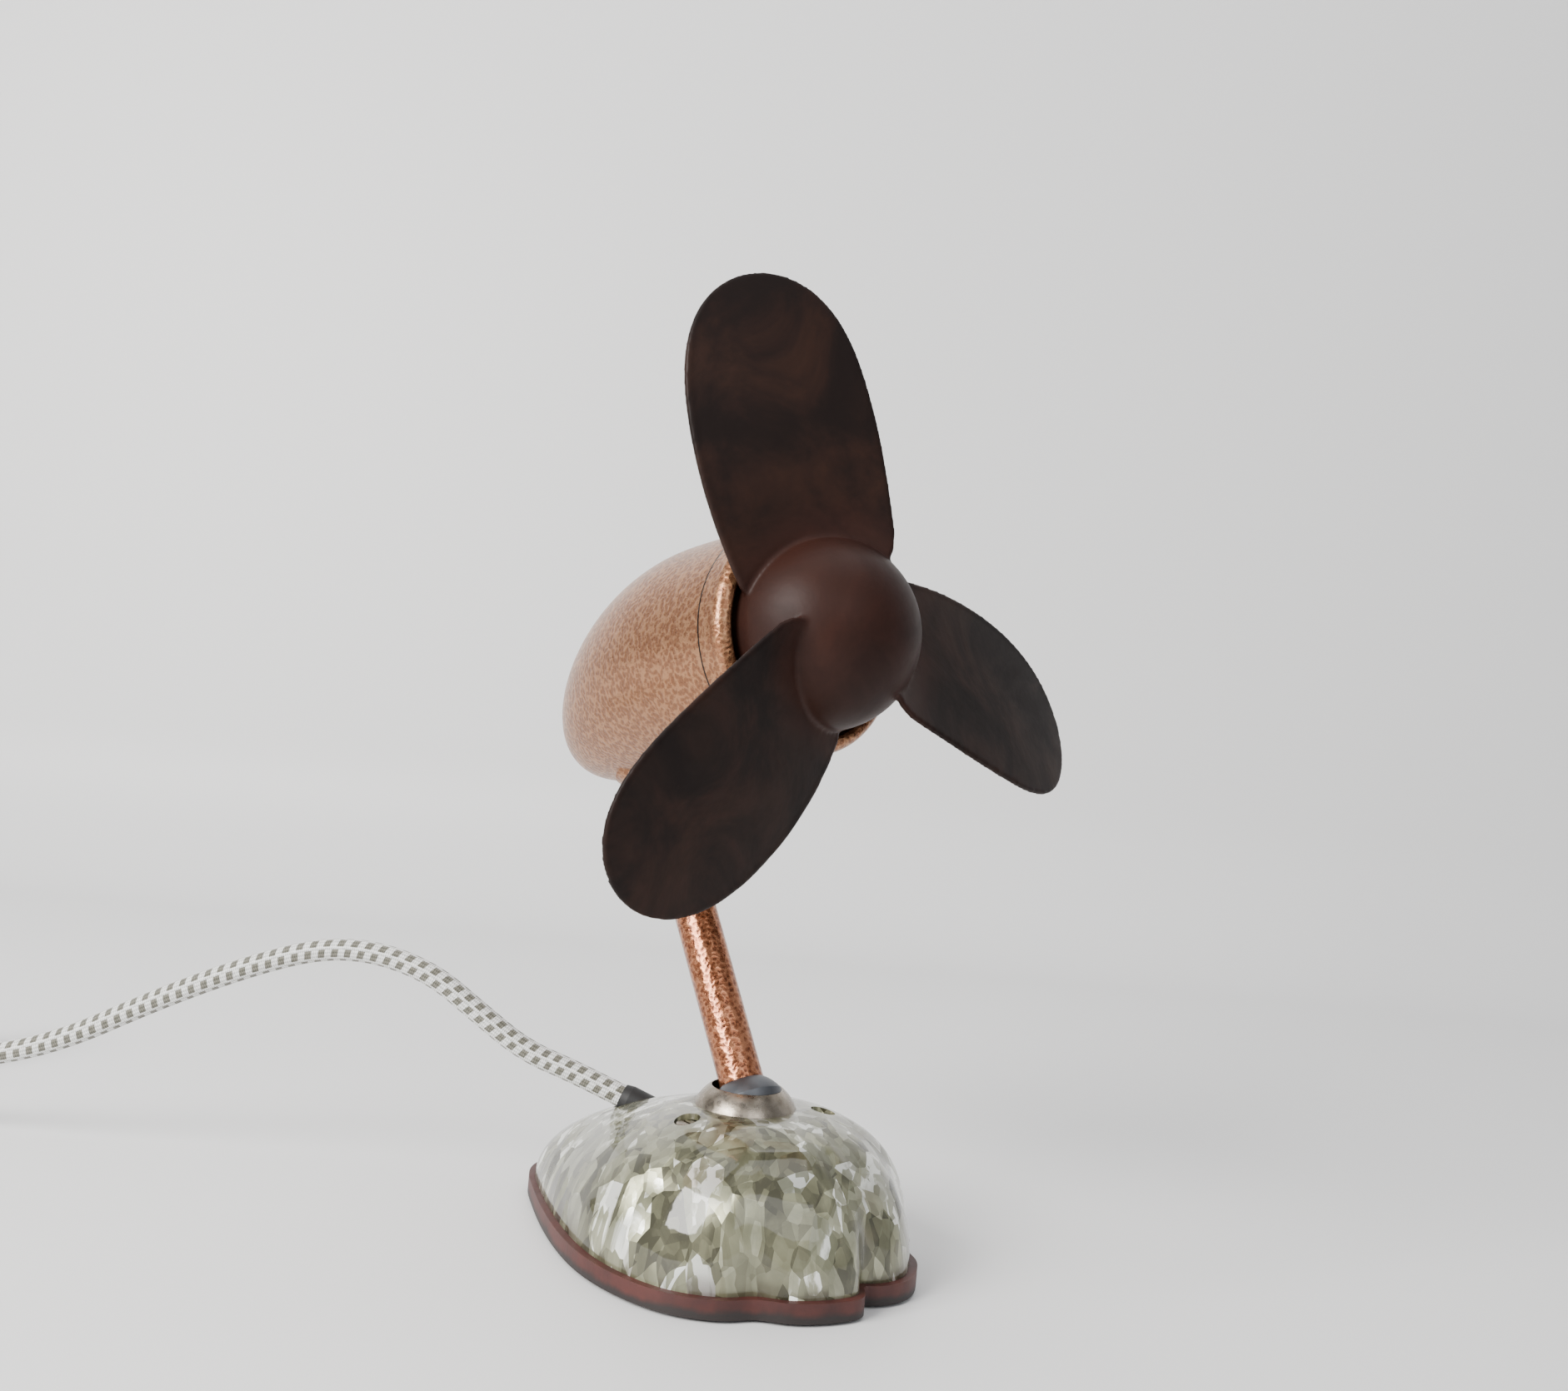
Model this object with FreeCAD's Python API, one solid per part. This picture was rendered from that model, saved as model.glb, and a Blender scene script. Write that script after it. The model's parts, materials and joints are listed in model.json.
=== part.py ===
"""Small vintage desk fan: a moulded rubber propeller and an egg-shaped motor
housing on a tube, in a ball joint on a fluted shell base, with a textile cord.

Millimetres. +Z is up, the table is z = 0, the base faces -Y, and the origin
lies on the table under the centre of the ball joint.
"""
import FreeCAD, Part
import os
from math import atan2, cos, pi, radians, sin, sqrt, tan

V = FreeCAD.Vector
X_AXIS, Y_AXIS, Z_AXIS = V(1, 0, 0), V(0, 1, 0), V(0, 0, 1)

# ---- fits ----
RUN = 0.05                 # radial running clearance
GAP = 0.3                  # clearance between parts that don't touch

# ---- base ----
FOOT_H = 1.6               # black rubber foot ring
FOOT_INSET, FOOT_WIDTH = 4.0, 9.0
PLATE_T = 1.2              # steel bottom plate
RIM_BOTTOM, RIM_TOP = 1.0, 7.0
RIM_LIP = 2.6              # how far the rubber rim stands out past the shell
RIM_WIDTH = 6.1            # the rim reaches under the shell
PLATE_INSET = 3.6          # the plate's edge sits in a groove of the rim
SHELL_Z0, SHELL_TOP = 6.2, 49.2
SHELL_T = 2.0
CROWN_R = 17.5             # flat crown under the collar
DOME_LEVELS = (0.0, 0.16, 0.34, 0.52, 0.68, 0.81, 0.9, 0.96, 0.99, 1.0)
FLUTE_FADE = 0.9           # share of the dome's height over which the flutes fade
BOSS_R = 4.0
# right half of the rim's outline, front to tail: x, y, flute depth, dome power
OUTLINE = [
    (0.0, -56.2, 6.0, 2.2),
    (7.0, -60.1, 0.6, 2.2),
    (15.0, -60.4, 0.0, 2.2),
    (24.5, -56.2, 0.0, 2.2),
    (32.2, -49.6, 0.8, 2.2),
    (37.1, -42.9, 4.6, 2.2),
    (42.8, -39.6, 4.4, 2.2),
    (49.0, -34.0, 1.8, 2.2),
    (54.6, -24.0, 0.0, 2.15),
    (57.0, -7.1, 0.0, 2.05),
    (54.4, 12.9, 0.0, 1.85),
    (46.0, 34.9, 0.0, 1.55),
    (34.0, 57.0, 0.0, 1.3),
    (21.5, 76.6, 0.0, 1.15),
    (9.8, 90.8, 0.0, 1.05),
    (0.0, 95.2, 0.0, 1.05),
]
SCREW_R = 26.0             # three shell screws round the collar
SCREW_ANGLES = (69.0, 178.0, 320.0)
SCREW_HOLE_R = 4.1
SCREW_TOP_Z, FERRULE_Z = 46.8, 39.0
FOOT_SCREWS = ((-26.4, -28.4), (26.4, -28.4), (-18.0, 48.0), (18.0, 48.0))

# ---- ball joint ----
BALL_Z, BALL_R = 51.6, 12.0
CAP_R, CAP_DROP = 13.2, 6.0                # flatter cap that the tube rises from
LIP_Z = 55.2               # top edge of the collar
LIP_T = 0.4
COLLAR_R, COLLAR_BULGE = 16.7, 0.55
COLLAR_NECK_R, COLLAR_BORE_R = 14.6, 12.9
WASHER_T = 0.9
SEAT_R = 11.2
CUP_FLOOR_Z, CUP_TOP_Z = 24.0, 41.5
BORE_R = 3.6               # wire bore through the ball
LEAD_R, LEAD_X = 1.2, 3.2

# ---- head pose at rest ----
SWIVEL = -8.5              # degrees about +Z
LEAN = 32.5                # the tube leans back from the vertical
AXIS_RISE = 10.0           # the fan's axis points up from the horizontal
ROTOR_FORWARD, ROTOR_UP = 24.2, 153.6      # rotor centre from the ball centre

# ---- tube ----
TUBE_R, TUBE_BORE = 7.4, 6.0
TUBE_START, TUBE_END = 3.2, 132.0
NUT_START, NUT_H, NUT_R = 126.5, 4.0, 10.5

# ---- housing, local frame: -Y forward along the axis, y = 0 at the blades' root ----
BEZEL_FRONT, SEAM = 10.9, 22.0
BEZEL_R, HOUSING_R = 38.3, 38.7
HOUSING_MID = 49.4         # where the egg begins to close
TAIL_LENGTH, TAIL_POWER = 89.6, 2.08
TAIL_RISE, TAIL_DROOP = 2.2, 23.6
WALL = 1.8
BEZEL_MOUTH_R = 33.4
NECK_END = 108.0           # lower end of the neck, along the tube
NECK_R, NECK_FLARE_R = 9.2, 15.0
NECK_INSIDE_R = 12.5
LEDGE_R = 34.4             # ledge that the front bracket rests on

# ---- motor ----
SHAFT_R = 3.0
SHAFT_FRONT, SHAFT_REAR = -8.0, 88.0
STATOR_Y0, STATOR_Y1, STATOR_R, STATOR_BORE = 43.0, 67.0, 32.5, 25.0
ROTOR_BORE_R, ROTOR_CORE_R = 15.4, 15.0
COIL_OVER = 7.0            # the coils stand past the stator's faces
BRACKET_T = 3.0
FRONT_BRACKET_Y, REAR_BRACKET_Y = 28.0, 80.0
BOLT_R, BOLT_CIRCLE = 2.0, 27.6

# ---- propeller ----
BLADES = 3
TIP_R = 116.2
HUB_R, HUB_MID, HUB_REAR = 31.4, 6.2, 16.8
RECESS_R, RECESS_Y, BOSS_OUTER_R = 22.6, 9.5, 11.0
BLADE_T = 2.4
BLADE_ANGLE = -23.0        # first blade's root, degrees from straight up
BLADE_CHORD, ROOT_CHORD = 66.5, 0.91
CHORD_GROWTH, TIP_POWER = 0.47, 5.4
BLADE_SHIFT, BLADE_SWEEP = 7.4, 12.0       # sideways run of the blade's middle
PITCH, PITCH_FALL = 0.38, 0.24
BLADE_FORWARD, BLADE_RAKE = 2.2, -11.0

# ---- cord ----
CORD_R = 3.9
EXIT = V(0, 52.0, 38.3)
# the cord's route after the sleeve, where it is not coiled
ROUTE = [
    V(-11.5, 69.8, 46.0),
    V(-22.5, 85.2, 51.6),
    V(-33.0, 99.0, 63.2),
    V(-43.5, 113.0, 75.2),
    V(-56.0, 130.0, 81.0),
    V(-68.5, 146.5, 80.2),
    V(-84.5, 167.0, 71.0),
    V(-103.0, 192.5, 56.3),
    V(-125.0, 222.0, 36.3),
    V(-146.5, 252.0, 26.5),
    V(-160.5, 279.0, 8.5),
    V(-162.9, 311.0, 4.4),
    V(-155.6, 340.1, 5.0),
]
SLEEVE_INSIDE, SLEEVE_OUTSIDE = 16.0, 4.2  # black sleeve, along the cord from the shell
SLEEVE_R0, SLEEVE_R1 = 4.9, 4.3
COIL_MEAN_R, COIL_BAND = 37.0, 15.8        # the spare length as a coil, tied and laid flat
COIL_Z0, COIL_Z1 = 1.1, 24.6
COIL_CENTRE = V(-195.4, 350.0, 0)
TIE_ANGLE, TIE_W, TIE_T = 200.0, 8.0, 1.0
END_ANGLE, END_R, END_Z = 312.0, 41.0, 20.7      # where the cord leaves the coil again
END_LENGTH = 28.0
PLUG_R, PLUG_LENGTH = 19.5, 30.0
PLUG_NECK_R, PLUG_NECK = 5.6, 12.0
PIN_R, PIN_LENGTH, PIN_SPACING = 2.4, 19.0, 19.0


# ---------------------------------------------------------------- helpers
def ring(outer, inner, z0, z1):
    tube = Part.makeCylinder(outer, z1 - z0, V(0, 0, z0))
    return tube.cut(Part.makeCylinder(inner, z1 - z0 + 2, V(0, 0, z0 - 1)))


def rod_y(radius, y0, y1, x=0.0, z=0.0):
    return Part.makeCylinder(radius, y1 - y0, V(x, y0, z), Y_AXIS)


def ring_y(outer, inner, y0, y1):
    return rod_y(outer, y0, y1).cut(rod_y(inner, y0 - 1, y1 + 1))


def turned(profile, origin, axis):
    """A solid turned from a closed list of points or edges about an axis."""
    if isinstance(profile[0], V):
        wire = Part.makePolygon(profile + [profile[0]])
    else:
        wire = Part.Wire(profile)
    return Part.Face(wire).revolve(origin, axis, 360)


def line(a, b):
    return Part.LineSegment(a, b).toShape()


def arc(a, mid, b):
    return Part.Arc(a, mid, b).toShape()


def on_circle(count, radius, start=0.0):
    for i in range(count):
        angle = radians(start + 360.0 * i / count)
        yield radius * cos(angle), radius * sin(angle)


def slotted_screw(head_r, head_h, shank_r, length, slot_w):
    """A screw standing on its tip: the head's top is z = 0 and it points down."""
    head = Part.makeCylinder(head_r, head_h, V(0, 0, -head_h))
    head = head.makeFillet(head_h * 0.35, [head.Edges[0]])
    slot = Part.makeBox(2.2 * head_r, slot_w, head_h * 0.5, V(-1.1 * head_r, -slot_w / 2, -head_h * 0.5))
    shank = Part.makeCylinder(shank_r, length, V(0, 0, -head_h - length))
    return head.cut(slot).fuse(shank).removeSplitter()


def to_head(shape):
    """From the head's local frame to the row frame, at rest."""
    placed = shape.copy()
    placed.rotate(V(0, 0, 0), X_AXIS, -AXIS_RISE)
    placed.translate(V(0, -ROTOR_FORWARD, BALL_Z + ROTOR_UP))
    placed.rotate(V(0, 0, 0), Z_AXIS, SWIVEL)
    return placed


def to_stem(shape):
    """From the tube's frame, ball centre at 0 and the tube along +Z, to the row frame."""
    placed = shape.copy()
    placed.rotate(V(0, 0, 0), X_AXIS, -LEAN)
    placed.translate(V(0, 0, BALL_Z))
    placed.rotate(V(0, 0, 0), Z_AXIS, SWIVEL)
    return placed


def stem_to_head(shape):
    """From the tube's frame to the head's local frame."""
    placed = shape.copy()
    placed.rotate(V(0, 0, 0), X_AXIS, -LEAN)
    placed.translate(V(0, ROTOR_FORWARD, -ROTOR_UP))
    placed.rotate(V(0, 0, 0), X_AXIS, AXIS_RISE)
    return placed


# ---------------------------------------------------------------- base
def outline_points(inset=0.0, level=0.0, fade=1.0):
    """The base's outline, drawn in towards the crown with height; level is 0 to 1."""
    half = []
    for x, y, depth, power in OUTLINE:
        reach = sqrt(x * x + y * y)
        side = reach + depth * (1 - fade) - inset - CROWN_R
        radius = CROWN_R + side * (1 - level * level) ** (1 / power)
        half.append((x * radius / reach, y * radius / reach))
    left = [(-x, y) for x, y in half[-2:0:-1]]
    return half + left


def outline_wire(z, inset=0.0, level=0.0, fade=1.0):
    points = [V(x, y, z) for x, y in outline_points(inset, level, fade)]
    curve = Part.BSplineCurve()
    curve.interpolate(Points=points, PeriodicFlag=True)
    return Part.Wire(curve.toShape())


def prism(z0, z1, inset):
    return Part.Face(outline_wire(z0, inset)).extrude(V(0, 0, z1 - z0))


def dome(inset, z0, top):
    wires = []
    for level in DOME_LEVELS:
        fade = max(0.0, 1 - level / FLUTE_FADE)
        wires.append(outline_wire(z0 + (top - z0) * level, inset, level, fade))
    return Part.makeLoft(wires, True, False)


def screw_spots():
    for angle in SCREW_ANGLES:
        yield SCREW_R * cos(radians(angle)), SCREW_R * sin(radians(angle))


def exit_direction():
    step = ROUTE[0].sub(EXIT)
    return step.multiply(1 / step.Length)


def base_shell():
    outside = dome(RIM_LIP, SHELL_Z0, SHELL_TOP)
    shell = outside.cut(dome(RIM_LIP + SHELL_T, SHELL_Z0, SHELL_TOP - SHELL_T))
    for x, y in FOOT_SCREWS:
        boss = Part.makeCylinder(BOSS_R, 40, V(x, y, FOOT_H + PLATE_T)).common(outside)
        shell = shell.fuse(boss).cut(Part.makeCylinder(1.85, 14, V(x, y, FOOT_H)))
    shell = shell.cut(Part.makeCylinder(COLLAR_NECK_R + GAP / 2, 30, V(0, 0, SHELL_TOP - 20)))
    for x, y in screw_spots():
        shell = shell.cut(Part.makeCylinder(SCREW_HOLE_R, 30, V(x, y, 30)))
    start = EXIT.add(exit_direction().multiply(-SLEEVE_INSIDE))
    return shell.cut(Part.makeCylinder(SLEEVE_R0, 30, start, exit_direction())).removeSplitter()


def rim_gasket():
    band = prism(RIM_BOTTOM, RIM_TOP, 0.0)
    band = band.cut(prism(SHELL_Z0, RIM_TOP + 1, RIM_LIP))
    band = band.cut(prism(FOOT_H + PLATE_T, SHELL_Z0 + 1, RIM_WIDTH))
    band = band.cut(prism(FOOT_H, FOOT_H + PLATE_T, PLATE_INSET))
    return band.cut(prism(RIM_BOTTOM - 1, FOOT_H, FOOT_INSET))


def base_plate():
    plate = prism(FOOT_H, FOOT_H + PLATE_T, PLATE_INSET)
    for x, y in FOOT_SCREWS:
        plate = plate.cut(Part.makeCylinder(1.9, 10, V(x, y, 0)))
    return plate


def foot_ring():
    return prism(0, FOOT_H, FOOT_INSET).cut(prism(-1, FOOT_H + 1, FOOT_INSET + FOOT_WIDTH))


def ballast_weight():
    """Two cast blocks on the plate, left and right, round the shell's bosses."""
    z0, height = FOOT_H + PLATE_T, 15.0
    block = prism(z0, z0 + height, RIM_WIDTH + 5.5)
    block = block.cut(Part.makeBox(36, 200, 60, V(-18, -100, 0)))
    block = block.cut(Part.makeBox(200, 200, 60, V(-100, 24, 0)))
    for x, y in FOOT_SCREWS[:2]:
        block = block.cut(Part.makeCylinder(BOSS_R + GAP, 40, V(x, y, 0)))
    return block


def plate_screws():
    screws = []
    for x, y in FOOT_SCREWS:
        screw = slotted_screw(3.4, 1.3, 1.85, 11.0, 0.9)
        screw.rotate(V(0, 0, 0), X_AXIS, 180)
        screw.translate(V(x, y, FOOT_H - 1.3))
        screws.append(screw)
    return Part.makeCompound(screws)


def on_sphere(radius, z):
    """Point on a sphere round the ball's centre, at height z."""
    return V(sqrt(radius ** 2 - (z - BALL_Z) ** 2), 0, z)


def collar_dome():
    """Bright dome that holds the ball down, with its neck through the shell."""
    inner = BALL_R + RUN
    lip, band = on_sphere(inner, LIP_Z), on_sphere(inner, BALL_Z + 0.6)
    lip_out, rim = V(lip.x + LIP_T, 0, LIP_Z), V(COLLAR_R, 0, SHELL_TOP)
    outside = rim.sub(lip_out)
    bulge = V(-outside.z, 0, outside.x).multiply(COLLAR_BULGE / outside.Length)
    corners = [
        band,
        V(COLLAR_BORE_R, 0, band.z),
        V(COLLAR_BORE_R, 0, CUP_TOP_Z + 1.5),
        V(COLLAR_NECK_R, 0, CUP_TOP_Z + 1.5),
        V(COLLAR_NECK_R, 0, SHELL_TOP),
        rim,
    ]
    edges = [arc(lip, on_sphere(inner, (LIP_Z + band.z) / 2), band)]
    edges += [line(a, b) for a, b in zip(corners, corners[1:])]
    edges += [arc(rim, lip_out.add(rim).multiply(0.5).add(bulge), lip_out), line(lip_out, lip)]
    return turned(edges, V(0, 0, 0), Z_AXIS)


def collar_nut():
    """Ring nut that pulls the collar down on the shell from below."""
    top = SHELL_TOP - SHELL_T
    return ring(17.3, COLLAR_NECK_R, top - 3.0, top)


def socket_bracket():
    """Pressed cup under the ball with a flange and three threaded posts."""
    flange_z = 34.0
    body = ring(13.0, SEAT_R + RUN, CUP_FLOOR_Z, CUP_TOP_Z)
    body = body.fuse(ring(13.0, 5.0, CUP_FLOOR_Z - 1.5, CUP_FLOOR_Z))
    body = body.fuse(ring(28.5, 13.0, flange_z, flange_z + 2.0))
    for x, y in screw_spots():
        post = Part.makeCylinder(4.4, FERRULE_Z - flange_z, V(x, y, flange_z))
        body = body.fuse(post).cut(Part.makeCylinder(1.75, 20, V(x, y, flange_z - 5)))
    return body.removeSplitter()


def shell_screws():
    screws = []
    for x, y in screw_spots():
        screw = slotted_screw(3.6, 2.2, 1.7, 12.0, 1.0)
        screw.rotate(V(0, 0, 0), Z_AXIS, 35 + 40 * len(screws))
        screw.translate(V(x, y, SCREW_TOP_Z))
        screws.append(screw)
    return Part.makeCompound(screws)


def screw_ferrules():
    """Short sleeves under the screw heads that carry the clamp load past the shell."""
    sleeves = []
    for x, y in screw_spots():
        sleeve = ring(4.0, 1.75, FERRULE_Z, SCREW_TOP_Z - 2.2)
        sleeve.translate(V(x, y, 0))
        sleeves.append(sleeve)
    return Part.makeCompound(sleeves)


def friction_springs():
    """Stack of cupped spring washers that presses the seat up."""
    springs = []
    for i in range(5):
        z = CUP_FLOOR_Z + 0.1 + 2.55 * i
        low, high = (10.6, 6.2) if i % 2 == 0 else (6.2, 10.6)
        profile = [V(low, 0, z), V(high, 0, z + 1.4), V(high, 0, z + 2.3), V(low, 0, z + 0.9)]
        springs.append(turned(profile, V(0, 0, 0), Z_AXIS))
    return Part.makeCompound(springs)


def cupped(inner, outer_edges, from_angle, to_angle):
    """Edges of a ring whose inside is a sphere round the ball, angles up from straight down."""
    a0, a1 = radians(from_angle), radians(to_angle)
    mid = (a0 + a1) / 2
    spot = lambda a, r: V(r * sin(a), 0, BALL_Z - r * cos(a))
    inside = arc(spot(a0, inner), spot(mid, inner), spot(a1, inner))
    return [inside] + outer_edges(spot(a0, inner), spot(a1, inner))


def ball_seat():
    """Steel cup that turns in the bracket and presses on the fibre washer."""
    inner = BALL_R + WASHER_T + 2 * RUN
    bottom = CUP_FLOOR_Z + 0.1 + 2.55 * 4 + 2.3 + RUN

    def outside(low, high):
        corners = [high, V(SEAT_R, 0, high.z), V(SEAT_R, 0, bottom), V(low.x, 0, bottom), low]
        return [line(a, b) for a, b in zip(corners, corners[1:])]

    return turned(cupped(inner, outside, 24, 56), V(0, 0, 0), Z_AXIS)


def fibre_washer():
    """Thin spherical washer between the ball and its seat."""
    inner, outer = BALL_R + RUN, BALL_R + RUN + WASHER_T
    a0, a1 = radians(26), radians(54)

    def outside(low, high):
        spot = lambda a: V(outer * sin(a), 0, BALL_Z - outer * cos(a))
        back = arc(spot(a1), spot((a0 + a1) / 2), spot(a0))
        return [line(high, spot(a1)), back, line(spot(a0), low)]

    return turned(cupped(inner, outside, 26, 54), V(0, 0, 0), Z_AXIS)


def terminal_block():
    z0 = FOOT_H + PLATE_T
    block = Part.makeBox(16, 12, 10, V(-8, 28, z0))
    for x in (-LEAD_X, LEAD_X):
        block = block.cut(Part.makeCylinder(2.2, 7, V(x, 34, z0 + 4)))
        block = block.cut(Part.makeCylinder(1.5, 30, V(x, 20, z0 + 6), Y_AXIS))
    return block


def terminal_screws():
    screws = []
    for x in (-LEAD_X, LEAD_X):
        screw = slotted_screw(2.0, 1.6, 1.2, 1.6, 0.6)
        screw.translate(V(x, 34, FOOT_H + PLATE_T + 10.9))
        screws.append(screw)
    return Part.makeCompound(screws)


def supply_leads():
    """Two insulated wires from the terminals up to the mouth of the ball's bore."""
    leads = []
    z = FOOT_H + PLATE_T + 6
    for x in (-LEAD_X, LEAD_X):
        up = Part.makeCylinder(LEAD_R, 38.0 - z, V(x, 0, z))
        bend = Part.makeSphere(LEAD_R, V(x, 0, z))
        run = Part.makeCylinder(LEAD_R, 31, V(x, 0, z), Y_AXIS)
        leads.append(up.fuse([bend, run]).removeSplitter())
    return Part.makeCompound(leads)


def cord_clamp():
    """Bridge that grips the cord inside the base, on its own two feet."""
    z0 = FOOT_H + PLATE_T
    block = Part.makeBox(24, 8, 11, V(-12, 46, z0))
    return block.cut(Part.makeCylinder(CORD_R, 20, V(0, 40, z0 + CORD_R + 1.0), Y_AXIS))


# ---------------------------------------------------------------- tube and ball
def stem_ball():
    """Ball with a flatter cap above its equator, bored for the leads."""
    ball = Part.makeSphere(BALL_R).common(Part.makeSphere(CAP_R, V(0, 0, -CAP_DROP)))
    ball = ball.cut(Part.makeCylinder(TUBE_R, 20, V(0, 0, TUBE_START)))
    ball = ball.cut(Part.makeCylinder(BORE_R, 60, V(0, 0, -30)))
    return to_stem(ball.cut(Part.makeCone(9.0, BORE_R, 7.0, V(0, 0, -BALL_R))))


def stem_tube():
    tube = ring(TUBE_R, TUBE_BORE, TUBE_START, TUBE_END)
    return to_stem(tube)


def stem_leads():
    leads = []
    for x in (-1.6, 1.6):
        leads.append(Part.makeCylinder(1.3, TUBE_END + 9.0, V(x, 0, -4)))
    return to_stem(Part.makeCompound(leads))


def neck_nut():
    return to_stem(ring(NUT_R, TUBE_R, NUT_START, NUT_START + NUT_H))


# ---------------------------------------------------------------- housing
def egg_station(t):
    """Radius and height of the rear housing's section, t from 0 at its middle to 1."""
    radius = HOUSING_R * (1 - t ** TAIL_POWER) ** (1 / TAIL_POWER)
    return radius, TAIL_RISE * t - TAIL_DROOP * t * t


def egg(inset):
    """The egg behind the seam as one solid, its skin set in by inset."""
    wires = []
    stations = (0.0, 0.14, 0.28, 0.42, 0.55, 0.67, 0.78, 0.87, 0.94, 0.98)
    front = BEZEL_R - inset
    wires.append(Part.Wire(Part.makeCircle(front, V(0, SEAM, 0), Y_AXIS)))
    between = (front + HOUSING_R - inset) / 2 + 0.1
    wires.append(Part.Wire(Part.makeCircle(between, V(0, (SEAM + HOUSING_MID) / 2, 0), Y_AXIS)))
    for t in stations:
        radius, height = egg_station(t)
        shrink = max(radius - inset, 1.5) / radius
        y = HOUSING_MID + (TAIL_LENGTH - inset) * t
        wires.append(Part.Wire(Part.makeCircle(radius * shrink, V(0, y, height), Y_AXIS)))
    return Part.makeLoft(wires, True, False)


def neck_blank():
    """Flared neck round the tube, in the tube's frame."""
    top = NUT_START
    flare_mid = V(NECK_R + 1.3, 0, NECK_END + 7.5)
    edges = [
        line(V(0, 0, NECK_END), V(NECK_R - 0.8, 0, NECK_END)),
        line(V(NECK_R - 0.8, 0, NECK_END), V(NECK_R, 0, NECK_END + 0.8)),
        arc(V(NECK_R, 0, NECK_END + 0.8), flare_mid, V(NECK_FLARE_R, 0, NECK_END + 13.5)),
        line(V(NECK_FLARE_R, 0, NECK_END + 13.5), V(NECK_FLARE_R, 0, top)),
        line(V(NECK_FLARE_R, 0, top), V(0, 0, top)),
        line(V(0, 0, top), V(0, 0, NECK_END)),
    ]
    return turned(edges, V(0, 0, 0), Z_AXIS)


def housing_rear():
    neck_core = Part.makeCylinder(NECK_INSIDE_R, NUT_START - NECK_END, V(0, 0, NECK_END))
    hollow = egg(WALL).cut(stem_to_head(neck_core))
    body = egg(0.0).fuse(stem_to_head(neck_blank())).cut(hollow)
    ledge_y = FRONT_BRACKET_Y + BRACKET_T
    body = body.fuse(ring_y(HOUSING_R - WALL + 0.4, LEDGE_R, ledge_y, ledge_y + 2.5))
    body = body.cut(stem_to_head(Part.makeCylinder(TUBE_R, 60, V(0, 0, 100))))
    return to_head(biggest(body))


def biggest(shape):
    return max(shape.Solids, key=lambda solid: solid.Volume)


def housing_front():
    """Bezel: a rolled ring in front of the seam with a dished web behind the hub."""
    rim = 4.0
    web_y = 19.2
    centre = V(BEZEL_R - rim, BEZEL_FRONT + rim, 0)
    mid = V(centre.x + rim * cos(pi / 4), centre.y - rim * sin(pi / 4), 0)
    edges = [
        line(V(BEZEL_R, SEAM, 0), V(BEZEL_R, centre.y, 0)),
        arc(V(BEZEL_R, centre.y, 0), mid, V(centre.x, BEZEL_FRONT, 0)),
        line(V(centre.x, BEZEL_FRONT, 0), V(BEZEL_MOUTH_R, BEZEL_FRONT + 0.6, 0)),
        line(V(BEZEL_MOUTH_R, BEZEL_FRONT + 0.6, 0), V(BEZEL_MOUTH_R, web_y, 0)),
        line(V(BEZEL_MOUTH_R, web_y, 0), V(14.0, web_y, 0)),
        line(V(14.0, web_y, 0), V(14.0, web_y + 1.6, 0)),
        line(V(14.0, web_y + 1.6, 0), V(BEZEL_R - 2.2, web_y + 1.6, 0)),
        line(V(BEZEL_R - 2.2, web_y + 1.6, 0), V(BEZEL_R - 2.2, SEAM, 0)),
        line(V(BEZEL_R - 2.2, SEAM, 0), V(BEZEL_R, SEAM, 0)),
    ]
    body = turned(edges, V(0, 0, 0), Y_AXIS)
    for x, z in on_circle(3, 22.0, 90.0):
        body = body.cut(rod_y(1.8, 0, 40, x, z))
    return to_head(body)


def housing_screws():
    screws = []
    for x, z in on_circle(3, 22.0, 90.0):
        screw = slotted_screw(3.2, 1.8, 1.7, 9.5, 0.9)
        screw.rotate(V(0, 0, 0), X_AXIS, 90)
        screw.translate(V(x, 17.4, z))
        screws.append(to_head(screw))
    return Part.makeCompound(screws)


# ---------------------------------------------------------------- motor
def bracket(y, boss_y0, boss_y1, outer):
    body = ring_y(outer, 6.0, y, y + BRACKET_T).fuse(ring_y(9.5, 6.0, boss_y0, boss_y1))
    for x, z in on_circle(4, BOLT_CIRCLE, 45.0):
        body = body.cut(rod_y(BOLT_R + 0.02, y - 5, y + 10, x, z))
    for x, z in on_circle(4, 19.0, 0.0):
        body = body.cut(rod_y(5.4, y - 5, y + 10, x, z))
    return body.removeSplitter()


def front_bracket():
    body = bracket(FRONT_BRACKET_Y, 22.6, 33.0, 36.2)
    for x, z in on_circle(3, 22.0, 90.0):
        post = rod_y(3.6, 20.8, FRONT_BRACKET_Y, x, z)
        body = body.fuse(post).cut(rod_y(1.75, 15, 40, x, z))
    return to_head(body.removeSplitter())


def rear_bracket():
    return to_head(bracket(REAR_BRACKET_Y, 76.5, 86.5, 31.0))


def bush(y0, y1):
    return to_head(ring_y(6.0, SHAFT_R + RUN, y0, y1))


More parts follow.
